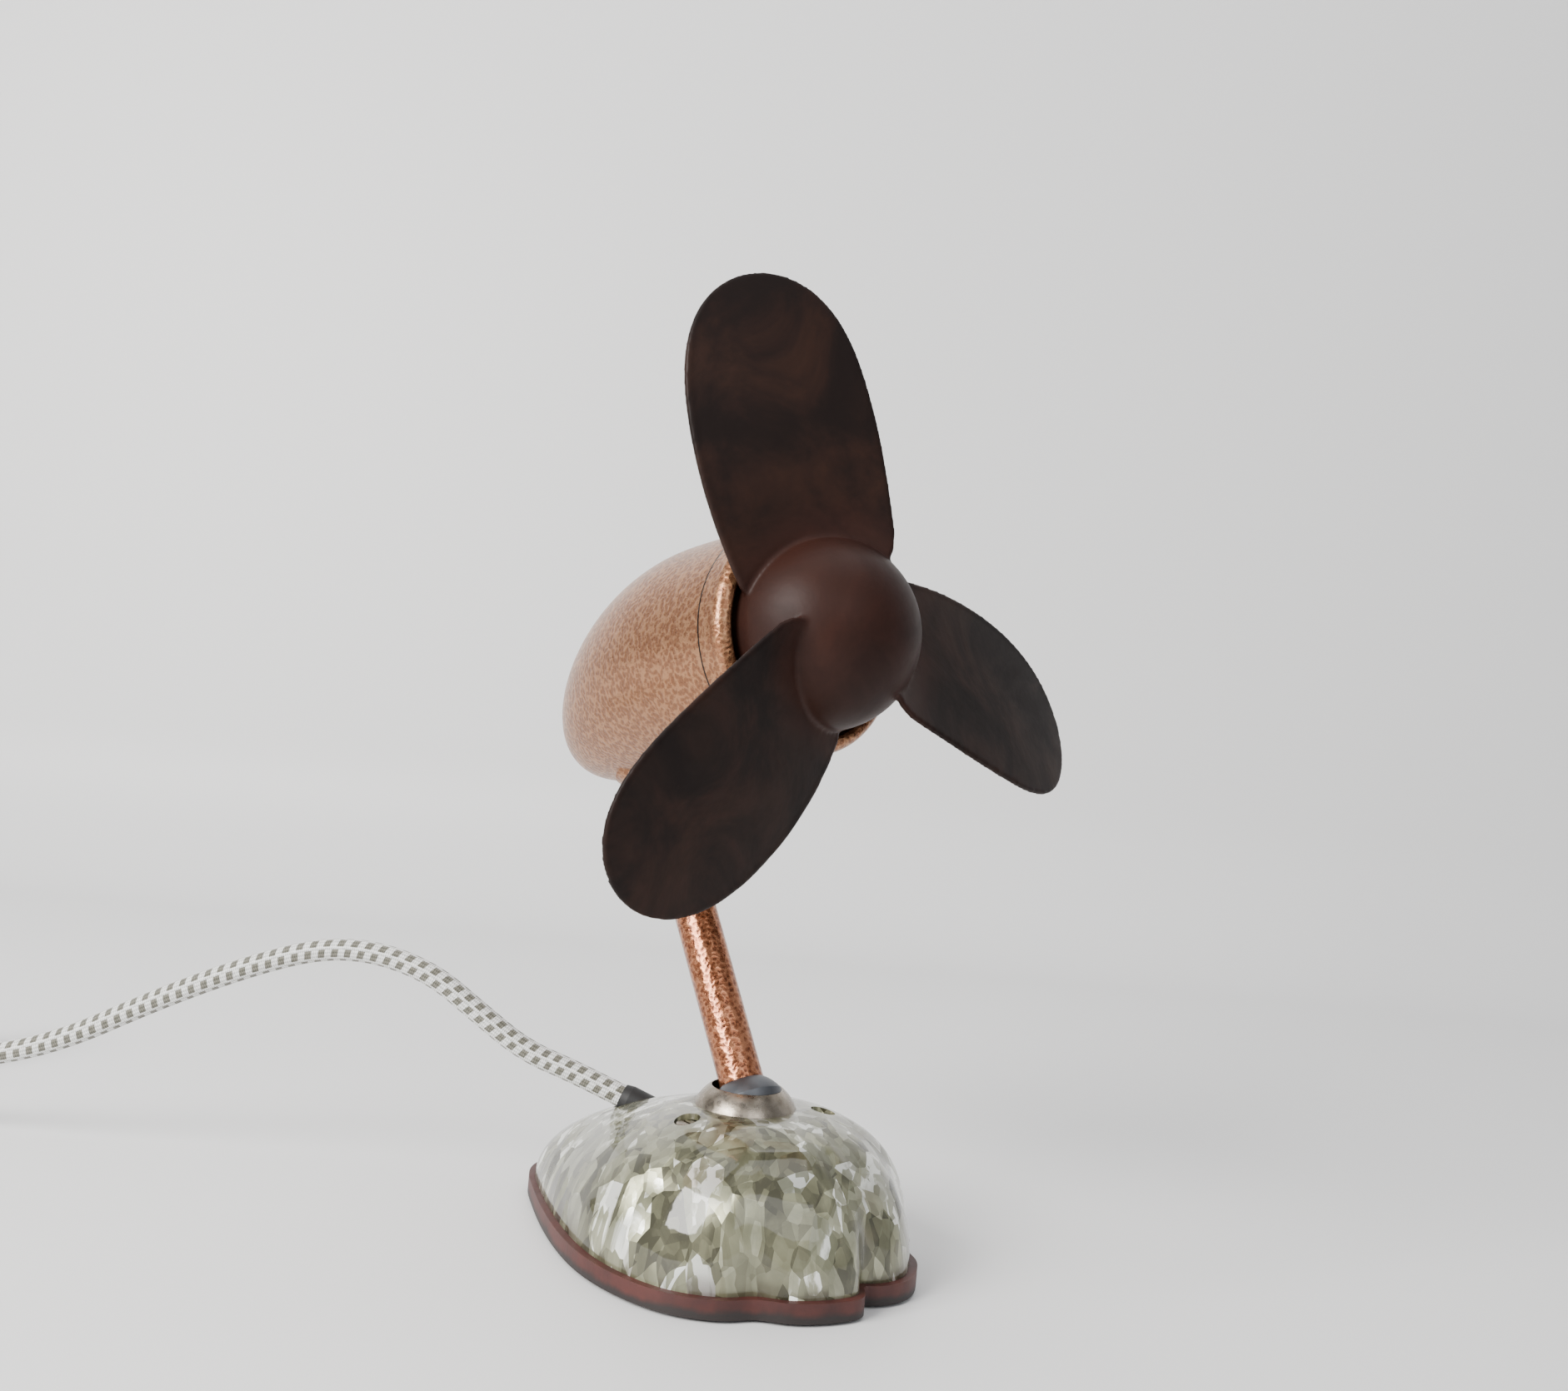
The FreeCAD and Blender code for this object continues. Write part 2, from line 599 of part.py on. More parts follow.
def stator_core():
    body = ring_y(STATOR_R, STATOR_BORE, STATOR_Y0, STATOR_Y1)
    for i in range(4):
        pole = Part.makeBox(11, STATOR_Y1 - STATOR_Y0, 10, V(-5.5, STATOR_Y0, 15.5))
        shoe = ring_y(18.6, ROTOR_BORE_R, STATOR_Y0, STATOR_Y1)
        shoe = shoe.common(Part.makeBox(19, STATOR_Y1 - STATOR_Y0, 12, V(-9.5, STATOR_Y0, 9.0)))
        part = pole.fuse(shoe).cut(shading_loop())
        part.rotate(V(0, 0, 0), Y_AXIS, 90 * i)
        body = body.fuse(part)
    body = body.cut(rod_y(ROTOR_BORE_R, 0, 100))
    for x, z in on_circle(4, BOLT_CIRCLE, 45.0):
        body = body.cut(rod_y(BOLT_R + 0.02, 0, 100, x, z))
    return to_head(body.removeSplitter())


def shading_loop():
    """Copper loop let into one side of the top pole's face."""
    length = STATOR_Y1 - STATOR_Y0
    loop = Part.makeBox(4.4, length + 3.0, 2.0, V(1.6, STATOR_Y0 - 1.5, 16.0))
    return loop.cut(Part.makeBox(2.4, length, 4.0, V(2.6, STATOR_Y0, 15.0)))


def stator_coils():
    length = STATOR_Y1 - STATOR_Y0
    coils = []
    for i in range(4):
        coil = Part.makeBox(17, length + 2 * COIL_OVER, 4.4, V(-8.5, STATOR_Y0 - COIL_OVER, 19.0))
        coil = coil.makeFillet(2.6, [e for e in coil.Edges if abs(e.tangentAt(0).z) > 0.9])
        coil = coil.cut(Part.makeBox(11, length, 8, V(-5.5, STATOR_Y0, 18.0)))
        coil.rotate(V(0, 0, 0), Y_AXIS, 90 * i)
        coils.append(to_head(coil))
    return Part.makeCompound(coils)


def shading_rings():
    """One copper shading ring in each of the four poles."""
    rings = []
    for i in range(4):
        loop = shading_loop()
        loop.rotate(V(0, 0, 0), Y_AXIS, 90 * i)
        rings.append(to_head(loop))
    return Part.makeCompound(rings)


def stator_bolts():
    bolts = []
    for x, z in on_circle(4, BOLT_CIRCLE, 45.0):
        y0, y1 = FRONT_BRACKET_Y, REAR_BRACKET_Y + BRACKET_T
        bolt = rod_y(BOLT_R, y0 - 2.5, y1 + 2.0, x, z)
        for y in (y0 - 2.5, y1):
            bolt = bolt.fuse(rod_y(3.4, y, y + 2.5, x, z))
        bolts.append(to_head(bolt.removeSplitter()))
    return Part.makeCompound(bolts)


def bolt_spacers():
    spacers = []
    for x, z in on_circle(4, BOLT_CIRCLE, 45.0):
        for y0, y1 in ((FRONT_BRACKET_Y + BRACKET_T, STATOR_Y0), (STATOR_Y1, REAR_BRACKET_Y)):
            spacer = rod_y(3.4, y0, y1, x, z).cut(rod_y(BOLT_R, y0 - 1, y1 + 1, x, z))
            spacers.append(to_head(spacer))
    return Part.makeCompound(spacers)


def hub_pin_blank():
    """Cross pin that keys the hub's bush to the shaft, in the head's local frame."""
    return Part.makeCylinder(1.0, 11.6, V(0, 12.0, -5.8))


def motor_shaft():
    shaft = rod_y(SHAFT_R, SHAFT_FRONT, SHAFT_REAR)
    shaft = shaft.makeChamfer(0.5, [shaft.Edges[0], shaft.Edges[2]])
    return to_head(shaft.cut(hub_pin_blank()))


def rotor_core():
    body = ring_y(ROTOR_CORE_R, SHAFT_R, STATOR_Y0, STATOR_Y1)
    return to_head(body)


def rotor_end_rings():
    front = ring_y(ROTOR_CORE_R - 1.0, 9.0, STATOR_Y0 - 3.0, STATOR_Y0)
    rear = ring_y(ROTOR_CORE_R - 1.0, 9.0, STATOR_Y1, STATOR_Y1 + 3.0)
    return Part.makeCompound([to_head(front), to_head(rear)])


def thrust_collars():
    front = ring_y(5.6, SHAFT_R, 33.3, 36.3)
    rear = ring_y(5.6, SHAFT_R, 73.2, 76.2)
    return Part.makeCompound([to_head(front), to_head(rear)])


def hub_bush():
    """Brass bush moulded into the propeller's hub."""
    body = ring_y(6.2, SHAFT_R, SHAFT_FRONT, 15.5).fuse(ring_y(9.0, SHAFT_R, 2.0, 5.0))
    return to_head(body.removeSplitter().cut(hub_pin_blank()))


def hub_pin():
    return to_head(hub_pin_blank())


# ---------------------------------------------------------------- propeller
def hub_blank():
    """Domed hub with a ring-shaped recess at the back, and a round boss for the bush."""
    tip = HUB_MID - HUB_R
    rear_r = HUB_R - 0.8
    nose = arc(V(0, tip, 0), V(HUB_R * sin(pi / 4), HUB_MID - HUB_R * cos(pi / 4), 0), V(HUB_R, HUB_MID, 0))
    corners = [
        V(HUB_R, HUB_MID, 0),
        V(rear_r, HUB_REAR, 0),
        V(RECESS_R + 0.8, HUB_REAR, 0),
        V(RECESS_R, RECESS_Y, 0),
        V(BOSS_OUTER_R, RECESS_Y, 0),
        V(BOSS_OUTER_R, HUB_REAR - 1.0, 0),
        V(0, HUB_REAR - 1.0, 0),
        V(0, tip, 0),
    ]
    edges = [nose] + [line(a, b) for a, b in zip(corners, corners[1:])]
    return turned(edges, V(0, 0, 0), Y_AXIS)


def blade_point(u, across, thick):
    """A point of the first blade: u from 0 at the hub to 1 at the tip, across from
    -0.5 to 0.5 over the chord, thick from -1 to 1 through the rubber."""
    radius = HUB_R + (TIP_R - HUB_R) * u
    out = max(u, 0.0)
    grow = sin(min(out / CHORD_GROWTH, 1.0) * pi / 2)
    chord = BLADE_CHORD * (ROOT_CHORD + (1 - ROOT_CHORD) * grow) * sqrt(1 - out ** TIP_POWER)
    place = BLADE_SHIFT * out + BLADE_SWEEP * out * out + chord * across
    slope = atan2(PITCH * (HUB_R / max(radius, HUB_R)) ** PITCH_FALL, 1.0)
    side = place * cos(slope) - thick * BLADE_T / 2 * sin(slope)
    forward = BLADE_FORWARD + BLADE_RAKE * out * out + place * sin(slope) + thick * BLADE_T / 2 * cos(slope)
    angle = radians(BLADE_ANGLE) + side / max(radius, HUB_R)
    return V(radius * sin(angle), -forward, radius * cos(angle))


def blade():
    """One blade as a solid between its front and back surfaces."""
    steps, across_steps = 13, 6
    first, last = -0.045, 0.965
    surfaces = []
    for thick in (1, -1):
        grid = []
        for i in range(steps + 1):
            s = first + (last - first) * i / steps
            u = 1 - (1 - s) ** 2
            grid.append([blade_point(u, j / across_steps - 0.5, thick) for j in range(across_steps + 1)])
        surface = Part.BSplineSurface()
        surface.interpolate(grid)
        surfaces.append(surface)
    front, back = surfaces
    u0, u1, v0, v1 = front.bounds()
    faces = [front.toShape(), back.toShape()]
    for end in (u0, u1):
        faces.append(Part.makeRuledSurface(front.uIso(end).toShape(), back.uIso(end).toShape()))
    for end in (v0, v1):
        faces.append(Part.makeRuledSurface(front.vIso(end).toShape(), back.vIso(end).toShape()))
    shell = Part.makeShell(faces)
    shell.sewShape()
    solid = Part.Solid(shell)
    if solid.Volume < 0:
        solid.reverse()
    return solid


def rubber_propeller():
    body = hub_blank()
    for i in range(BLADES):
        placed = blade()
        placed.rotate(V(0, 0, 0), Y_AXIS, 360.0 * i / BLADES)
        body = body.fuse(placed)
    body = body.cut(rod_y(6.2, SHAFT_FRONT, 40)).cut(rod_y(9.0, 2.0, 5.0))
    return to_head(body.cut(rod_y(SHAFT_R, SHAFT_FRONT - 0.5, 0)))


# ---------------------------------------------------------------- cord
def rounded_path(points):
    """Straight runs joined by tangent arcs. Prints each arc's radius."""
    edges = []
    radii = []
    start = points[0]
    for i in range(1, len(points) - 1):
        before, here, after = points[i - 1], points[i], points[i + 1]
        run_in, run_out = here.sub(before), after.sub(here)
        turn = run_in.getAngle(run_out)
        radius = 0.45 * min(run_in.Length, run_out.Length) / tan(turn / 2)
        radii.append(round(radius, 1))
        trim = radius * tan(turn / 2)
        u_in = V(run_in).multiply(1 / run_in.Length)
        u_out = V(run_out).multiply(1 / run_out.Length)
        p_in = here.sub(V(u_in).multiply(trim))
        p_out = here.add(V(u_out).multiply(trim))
        inward = u_out.sub(u_in)
        inward.multiply(1 / inward.Length)
        centre = here.add(V(inward).multiply(radius / cos(turn / 2)))
        mid = centre.sub(V(inward).multiply(radius))
        edges.append(line(start, p_in))
        edges.append(arc(p_in, mid, p_out))
        start = p_out
    edges.append(line(start, points[-1]))
    print("cord arc radii", radii)
    return Part.Wire(edges)


def power_cord():
    first = EXIT.add(exit_direction().multiply(SLEEVE_OUTSIDE))
    path = rounded_path([first] + ROUTE)
    section = Part.Wire(Part.makeCircle(CORD_R, first, exit_direction()))
    tube = path.makePipeShell([section], True, False)
    filled = tube.Volume / (path.Length * pi * CORD_R ** 2)
    print("cord", round(path.Length, 1), "volume ratio", round(filled, 4))
    tail = Part.makeCylinder(CORD_R, END_LENGTH, V(END_R, 0, END_Z), Y_AXIS)
    return Part.makeCompound([tube, on_coil(tail, END_ANGLE)])


def cord_sleeve():
    """Black rubber sleeve: a plug in the shell's hole and a taper round the cord."""
    profile = [
        V(0, 0, -SLEEVE_INSIDE), V(SLEEVE_R0, 0, -SLEEVE_INSIDE), V(SLEEVE_R0, 0, 1.5),
        V(SLEEVE_R1, 0, SLEEVE_OUTSIDE), V(0, 0, SLEEVE_OUTSIDE),
    ]
    sleeve = turned(profile, V(0, 0, 0), Z_AXIS)
    sleeve.Placement = FreeCAD.Placement(EXIT, FreeCAD.Rotation(Z_AXIS, exit_direction()))
    return sleeve


def cord_coil():
    """Outer shape of the coiled spare length."""
    body = ring(COIL_MEAN_R + COIL_BAND / 2, COIL_MEAN_R - COIL_BAND / 2, COIL_Z0, COIL_Z1)
    body = body.makeFillet(3.0, [e for e in body.Edges if isinstance(e.Curve, Part.Circle)])
    body.translate(COIL_CENTRE)
    return body


def on_coil(shape, angle):
    """Turn a shape drawn along +X about the coil's axis and move it there."""
    placed = shape.copy()
    placed.rotate(V(0, 0, 0), Z_AXIS, angle)
    placed.translate(COIL_CENTRE)
    return placed


def cord_tie():
    """Flat strap round the coil."""
    wide, height = COIL_BAND + 2 * GAP, COIL_Z1 - COIL_Z0 + 2 * (GAP / 3)
    z0 = COIL_Z0 - GAP / 3
    outer = Part.makeBox(wide + 2 * TIE_T, TIE_W, height + 2 * TIE_T,
                         V(COIL_MEAN_R - wide / 2 - TIE_T, -TIE_W / 2, z0 - TIE_T))
    outer = outer.makeFillet(2.0, [e for e in outer.Edges if abs(e.tangentAt(0).y) > 0.9])
    inner = Part.makeBox(wide, 2 * TIE_W, height, V(COIL_MEAN_R - wide / 2, -TIE_W, z0))
    return on_coil(outer.cut(inner), TIE_ANGLE)


def mains_plug():
    """Round two-pin plug on its side, at the end of the cord."""
    start = END_LENGTH
    body_y = start + PLUG_NECK
    end = body_y + PLUG_LENGTH
    profile = [
        V(0, start, 0), V(PLUG_NECK_R, start, 0), V(PLUG_NECK_R + 2.5, body_y, 0),
        V(PLUG_R - 1.0, body_y + 6.0, 0), V(PLUG_R, end - 6.0, 0), V(PLUG_R, end, 0), V(0, end, 0),
    ]
    plug = turned(profile, V(0, 0, 0), Y_AXIS)
    for side in (-PIN_SPACING / 2, PIN_SPACING / 2):
        plug = plug.fuse(Part.makeCylinder(PIN_R, PIN_LENGTH, V(side, end, 0), Y_AXIS))
    plug.translate(V(END_R, 0, END_Z))
    return on_coil(plug.removeSplitter(), END_ANGLE)


NODES = {
    "base_shell": base_shell,
    "rim_gasket": rim_gasket,
    "base_plate": base_plate,
    "foot_ring": foot_ring,
    "plate_screws": plate_screws,
    "ballast_weight": ballast_weight,
    "collar_dome": collar_dome,
    "collar_nut": collar_nut,
    "socket_bracket": socket_bracket,
    "shell_screws": shell_screws,
    "screw_ferrules": screw_ferrules,
    "friction_springs": friction_springs,
    "ball_seat": ball_seat,
    "fibre_washer": fibre_washer,
    "terminal_block": terminal_block,
    "terminal_screws": terminal_screws,
    "supply_leads": supply_leads,
    "cord_clamp": cord_clamp,
    "stem_ball": stem_ball,
    "stem_tube": stem_tube,
    "stem_leads": stem_leads,
    "neck_nut": neck_nut,
    "housing_rear": housing_rear,
    "housing_front": housing_front,
    "housing_screws": housing_screws,
    "front_bracket": front_bracket,
    "rear_bracket": rear_bracket,
    "front_bush": lambda: bush(22.6, 33.0),
    "rear_bush": lambda: bush(76.5, 86.5),
    "stator_core": stator_core,
    "stator_coils": stator_coils,
    "shading_rings": shading_rings,
    "stator_bolts": stator_bolts,
    "bolt_spacers": bolt_spacers,
    "motor_shaft": motor_shaft,
    "rotor_core": rotor_core,
    "rotor_end_rings": rotor_end_rings,
    "thrust_collars": thrust_collars,
    "hub_bush": hub_bush,
    "hub_pin": hub_pin,
    "rubber_propeller": rubber_propeller,
    "power_cord": power_cord,
    "cord_sleeve": cord_sleeve,
    "cord_coil": cord_coil,
    "cord_tie": cord_tie,
    "mains_plug": mains_plug,
}


def main():
    os.makedirs("parts", exist_ok=True)
    for name, make in NODES.items():
        shape = make()
        shape.exportStep(f"parts/{name}.step")
        print(name, len(shape.Solids), "valid" if shape.isValid() else "NOT VALID", round(shape.Volume))


main()
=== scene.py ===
"""Studio picture of the desk fan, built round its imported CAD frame. Metres, +Z up."""
import json
import math

import bpy
import bmesh
from mathutils import Matrix, Vector


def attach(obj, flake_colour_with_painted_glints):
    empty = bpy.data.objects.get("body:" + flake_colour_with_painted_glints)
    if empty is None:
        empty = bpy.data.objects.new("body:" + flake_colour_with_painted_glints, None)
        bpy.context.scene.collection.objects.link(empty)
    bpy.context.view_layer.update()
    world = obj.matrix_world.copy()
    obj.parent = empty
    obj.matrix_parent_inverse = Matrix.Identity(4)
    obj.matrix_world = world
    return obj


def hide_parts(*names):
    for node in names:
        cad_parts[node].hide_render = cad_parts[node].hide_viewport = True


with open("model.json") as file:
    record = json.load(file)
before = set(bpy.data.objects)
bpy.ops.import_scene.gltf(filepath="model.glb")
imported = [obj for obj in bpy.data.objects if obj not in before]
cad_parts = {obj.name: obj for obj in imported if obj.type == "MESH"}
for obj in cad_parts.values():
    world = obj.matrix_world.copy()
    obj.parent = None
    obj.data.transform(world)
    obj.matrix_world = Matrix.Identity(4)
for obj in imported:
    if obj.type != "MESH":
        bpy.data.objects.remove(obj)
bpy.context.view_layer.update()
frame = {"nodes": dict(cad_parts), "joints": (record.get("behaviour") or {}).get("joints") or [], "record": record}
nodes = frame["nodes"]
joints = {j["name"]: j for j in frame["joints"]}
MM = 0.001

# ------------------------------------------------------------------ camera
CAMERA_POSITION = Vector((-0.39044, -0.34123, 0.17902))
CAMERA_FORWARD = Vector((0.754157, 0.656636, 0.008727))
CAMERA_UP = Vector((-0.063788, 0.060023, 0.996157))
LENS_MM = 36.34
SENSOR_MM = 36.0


def add_camera():
    data = bpy.data.cameras.new("camera")
    data.lens = LENS_MM
    data.sensor_width = SENSOR_MM
    data.clip_start, data.clip_end = 0.01, 50.0
    camera = bpy.data.objects.new("camera", data)
    bpy.context.scene.collection.objects.link(camera)
    back = -CAMERA_FORWARD.normalized()
    right = CAMERA_UP.cross(back).normalized()
    up = back.cross(right)
    turn = Matrix((right, up, back)).transposed()
    camera.matrix_world = Matrix.Translation(CAMERA_POSITION) @ turn.to_4x4()
    bpy.context.scene.camera = camera


add_camera()

# ------------------------------------------------------------------ cord
CORD_R = 3.9 * MM
EXIT = Vector((0, 52.0, 38.3)) * MM
SLEEVE_OUTSIDE = 4.2 * MM
ROUTE = [Vector(p) * MM for p in (
    (-11.5, 69.8, 46.0),
    (-22.5, 85.2, 51.6),
    (-33.0, 99.0, 63.2),
    (-43.5, 113.0, 75.2),
    (-56.0, 130.0, 81.0),
    (-68.5, 146.5, 80.2),
    (-84.5, 167.0, 71.0),
    (-103.0, 192.5, 56.3),
    (-125.0, 222.0, 36.3),
    (-146.5, 252.0, 26.5),
    (-160.5, 279.0, 8.5),
    (-162.9, 311.0, 4.4),
    (-155.6, 340.1, 5.0),
)]
COIL_CENTRE = Vector((-195.4, 350.0, 0)) * MM
INNER_TURN, OUTER_TURN = 33.0 * MM, 41.0 * MM
LEVELS = [5.0 * MM, 12.85 * MM, 20.7 * MM]
START_ANGLE = -14.0
CHANGE = 46.0              # degrees over which a turn moves to its next place, each turn that much earlier
STEP = 23.0                # degrees between control points
INTO_PLUG = 4.0 * MM
TAIL_ANGLE, TAIL_LENGTH = 312.0, 28.0 * MM


def coil_points():
    """Turns laid side by side and on top of each other, from the floor up."""
    places = [(OUTER_TURN, 0), (INNER_TURN, 0), (INNER_TURN, 1), (OUTER_TURN, 1), (OUTER_TURN, 2)]
    moved = [360.0 * (i + 1) - CHANGE * i for i in range(len(places) - 1)]
    total = 360.0 * (len(places) - 1) + TAIL_ANGLE - START_ANGLE
    steps = round(total / STEP)
    # the curve runs inside its control points, so they lie that much further out
    swell = 1 / (0.75 + 0.25 * math.cos(math.radians(total / steps)))
    points = []
    for i in range(1, steps):
        along = total * i / steps
        radius, level = places[0]
        z = LEVELS[level]
        for end, place in zip(moved, places[1:]):
            share = min(max((along - end + CHANGE) / CHANGE, 0.0), 1.0)
            radius += (place[0] - radius) * share
            z += (LEVELS[place[1]] - z) * share
        a = math.radians(START_ANGLE + along)
        points.append(COIL_CENTRE + Vector((radius * swell * math.cos(a), radius * swell * math.sin(a), z)))
    return points


def spline_lengths(points, per_span=8):
    """Length of a clamped quadratic B-spline up to even steps of its parameter, as shares of the whole."""
    spans = len(points) - 2
    knots = [0, 0] + list(range(spans + 1)) + [spans, spans]

    def at(t):
        k = min(int(t), spans - 1)
        d = [points[k + j] for j in range(3)]
        for r in (1, 2):
            for j in range(2, r - 1, -1):
                low, high = knots[k + j], knots[k + j + 3 - r]
                share = (t - low) / (high - low)
                d[j] = d[j - 1] * (1 - share) + d[j] * share
        return d[2]

    steps = spans * per_span
    run, total, last = [0.0], 0.0, at(0.0)
    for i in range(1, steps + 1):
        here = at(spans * i / steps)
        total += (here - last).length
        run.append(total)
        last = here
    return [v / total for v in run], total


def add_cord():
    direction = (ROUTE[0] - EXIT).normalized()
    points = [EXIT + direction * SLEEVE_OUTSIDE] + ROUTE + coil_points()
    a = math.radians(TAIL_ANGLE)
    tangent = Vector((-math.sin(a), math.cos(a), 0))
    edge = COIL_CENTRE + Vector((OUTER_TURN * math.cos(a), OUTER_TURN * math.sin(a), LEVELS[2]))
    points += [edge + tangent * (TAIL_LENGTH * 0.5), edge + tangent * (TAIL_LENGTH + INTO_PLUG)]
    curve = bpy.data.curves.new("cord", "CURVE")
    curve.dimensions = "3D"
    spline = curve.splines.new("NURBS")
    spline.points.add(len(points) - 1)
    for item, p in zip(spline.points, points):
        item.co = (*p, 1.0)
        item.radius = CORD_R
    spline.order_u = 3
    spline.use_endpoint_u = True
    spline.resolution_u = 10
    curve.bevel_depth = 1.0        # times each point's radius
    curve.bevel_resolution = 8
    curve.resolution_u = 10
    curve.use_fill_caps = True
    cord = bpy.data.objects.new("textile_cord", curve)
    bpy.context.scene.collection.objects.link(cord)
    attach(cord, "base")
    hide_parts("power_cord", "cord_coil")
    shares, length = spline_lengths(points)
    return cord, length, shares


cord, cord_length, cord_shares = add_cord()


# ------------------------------------------------------------------ node helpers
class Shader:
    """Builds one node material around a Principled shader."""

    def __init__(self, name):
        self.material = bpy.data.materials.new(name)
        self.material.use_nodes = True
        self.tree = self.material.node_tree
        self.main = self.tree.nodes["Principled BSDF"]

    def add(self, kind, inputs=None, **settings):
        node = self.tree.nodes.new(kind)
        for key, value in settings.items():
            setattr(node, key, value)
        for key, value in (inputs or {}).items():
            self.put(node.inputs[key], value)
        return node

    def put(self, socket, value):
        if isinstance(value, bpy.types.NodeSocket):
            self.tree.links.new(value, socket)
        else:
            socket.default_value = value

    def set(self, **values):
        for key, value in values.items():
            self.put(self.main.inputs[key.replace("_", " ")], value)

    def place(self, scale=(1, 1, 1), turn=(0, 0, 0), at=(0, 0, 0)):
        where = self.add("ShaderNodeTexCoord").outputs["Object"]
        node = self.add("ShaderNodeMapping", {"Vector": where})
        node.inputs["Scale"].default_value = scale
        node.inputs["Rotation"].default_value = turn
        node.inputs["Location"].default_value = at
        return node.outputs["Vector"]

    def noise(self, vector, scale, detail=3.0, rough=0.55, distortion=0.0):
        return self.add("ShaderNodeTexNoise", {"Vector": vector, "Scale": scale, "Detail": detail,
                                               "Roughness": rough, "Distortion": distortion}).outputs["Fac"]

    def ramp(self, value, *stops, smooth=False):
        node = self.add("ShaderNodeValToRGB", {"Fac": value})
        ramp = node.color_ramp
        if smooth:
            ramp.interpolation = "EASE"
        while len(ramp.elements) > 1:
            ramp.elements.remove(ramp.elements[-1])
        for i, (at, colour) in enumerate(stops):
            item = ramp.elements[0] if i == 0 else ramp.elements.new(at)
            item.position = at
            item.color = (*colour, 1.0) if isinstance(colour, tuple) else (colour, colour, colour, 1.0)
        return node.outputs["Color"]

    def mix(self, share, a, b, blend="MIX"):
        node = self.add("ShaderNodeMix", data_type="RGBA", blend_type=blend)
        self.put(node.inputs[0], share)
        self.put(node.inputs[6], (*a, 1.0) if isinstance(a, tuple) else a)
        self.put(node.inputs[7], (*b, 1.0) if isinstance(b, tuple) else b)
        return node.outputs[2]

    def maths(self, kind, a, b=0.0, clamp=False):
        node = self.add("ShaderNodeMath", operation=kind, use_clamp=clamp)
        self.put(node.inputs[0], a)
        self.put(node.inputs[1], b)
        return node.outputs[0]

    def bump(self, height, strength, distance, normal=None):
        node = self.add("ShaderNodeBump", {"Height": height, "Strength": strength, "Distance": distance})
        if normal is not None:
            self.put(node.inputs["Normal"], normal)
        return node.outputs["Normal"]


def plain(name, colour, rough=0.5, metal=0.0, coat=0.0, bump=0.0, grain=900.0, vary=0.12):
    s = Shader(name)
    spot = s.place()
    cloud = s.noise(spot, 60.0, 4.0)
    dark = tuple(c * (1 - vary) for c in colour)
    light = tuple(min(c * (1 + vary), 1.0) for c in colour)
    s.set(Base_Color=s.ramp(cloud, (0.3, dark), (0.7, light)), Metallic=metal, Coat_Weight=coat)
    s.set(Roughness=s.ramp(cloud, (0.3, max(rough - 0.06, 0.02)), (0.7, min(rough + 0.06, 1.0))))
    if bump:
        s.set(Normal=s.bump(s.noise(spot, grain, 2.0), bump, 0.0002))
    return s.material


# ------------------------------------------------------------------ finishes
AXIS = Vector(joints["rotor_spin"]["axis"]).normalized()
CENTRE = Vector(joints["rotor_spin"]["pos_m"])
SEAM = 22.0 * MM           # where the two halves of the housing meet, behind the rotor's centre
SEAM_SHADE_HALF_WIDTH = 0.35 * MM
RIM_HEIGHT = 8.0 * MM
HUB_SHADE_REACH = 50.0 * MM        # the hub's lighter brown has faded out before this
MARK_PITCH = 4.9 * MM              # along the cord, from one grey mark to the next in its row
MARK_ROWS = 6.0                    # rows of marks round the cord; even, so that they stay staggered


